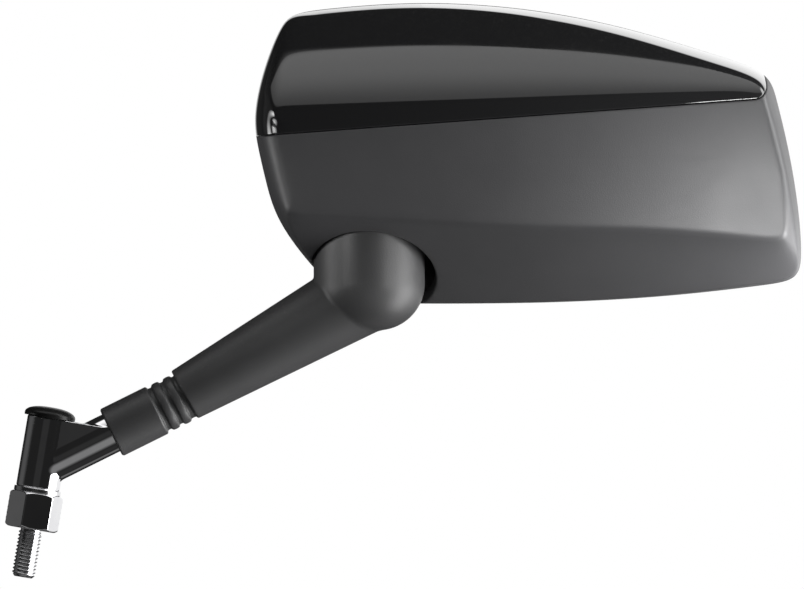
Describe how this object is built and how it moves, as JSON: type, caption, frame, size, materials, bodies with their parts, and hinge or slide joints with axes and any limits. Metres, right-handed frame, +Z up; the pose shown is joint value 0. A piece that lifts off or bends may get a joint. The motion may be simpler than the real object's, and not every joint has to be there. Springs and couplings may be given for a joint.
{
  "type": "motorcycle mirror",
  "caption": "Left-hand motorcycle mirror: threaded pivot stud, chromed angled stem in a ribbed rubber boot, friction ball joint, matt housing with gloss cap, convex glass.",
  "frame": {"origin": "on the stud's axis, at the underside of its hexagon, where it meets the handlebar perch", "axes": "+X outboard to the motorcycle's left, +Y back to the rider (the glass faces +Y), +Z up; the stud leans 9.5 degrees outboard"},
  "size_m": [0.2712, 0.061, 0.1961],
  "materials": {
    "bright_steel": "bright zinc plate",
    "spring_steel": "oiled spring steel",
    "stem_chrome": "polished chrome",
    "bush_bronze": "sintered bronze",
    "plug_black": "moulded gloss",
    "boot_rubber": "matt moulded rubber",
    "seat_nylon": "natural nylon",
    "bracket_steel": "zinc plate",
    "screw_zinc": "zinc plate",
    "shell_plastic": "fine matt grain",
    "cap_gloss": "piano-black gloss",
    "carrier_plastic": "moulded satin",
    "pad_foam": "double-sided adhesive foam",
    "glass_mirror": "silvered convex glass",
    "seal_rubber": "satin rubber"
  },
  "bodies": {
    "pivot": {"pivot_stud": "bright_steel", "thrust_washer": "bright_steel", "disc_springs": "spring_steel", "nut_washer": "bright_steel", "lock_nut": "bright_steel"},
    "stem": {"stem_arm": "stem_chrome", "boss_bushes": "bush_bronze", "boss_cap": "plug_black", "pivot_ball": "bright_steel", "arm_boot": "boot_rubber"},
    "cup": {"pressure_cup": "seat_nylon"},
    "ring": {"ball_seat_ring": "seat_nylon"},
    "head": {"socket_bracket": "bracket_steel", "joint_spring": "spring_steel", "tension_plug": "bright_steel", "bracket_screws": "screw_zinc", "housing_shell": "shell_plastic", "upper_cap": "cap_gloss", "cap_screws": "screw_zinc", "glass_carrier": "carrier_plastic", "carrier_screws": "screw_zinc", "glass_pad": "pad_foam", "mirror_glass": "glass_mirror", "glass_seal": "seal_rubber"}
  },
  "joints": [
    {"name": "arm_swivel", "type": "hinge", "parent": "pivot", "child": "stem", "pos_m": [0.0033, 0, 0.01973], "axis": [0.165, 0, 0.9863], "continuous": true},
    {"name": "mirror_roll", "type": "hinge", "parent": "stem", "child": "cup", "pos_m": [0.11503, 0, 0.09197], "axis": [0, 1, 0], "range_deg": [-5, 6]},
    {"name": "mirror_tilt", "type": "hinge", "parent": "cup", "child": "ring", "pos_m": [0.11503, 0, 0.09197], "axis": [1, 0, 0], "range_deg": [-5, 7]},
    {"name": "mirror_pan", "type": "hinge", "parent": "ring", "child": "head", "pos_m": [0.11503, 0, 0.09197], "axis": [0, 0, 1], "range_deg": [-25, 18]}
  ]
}
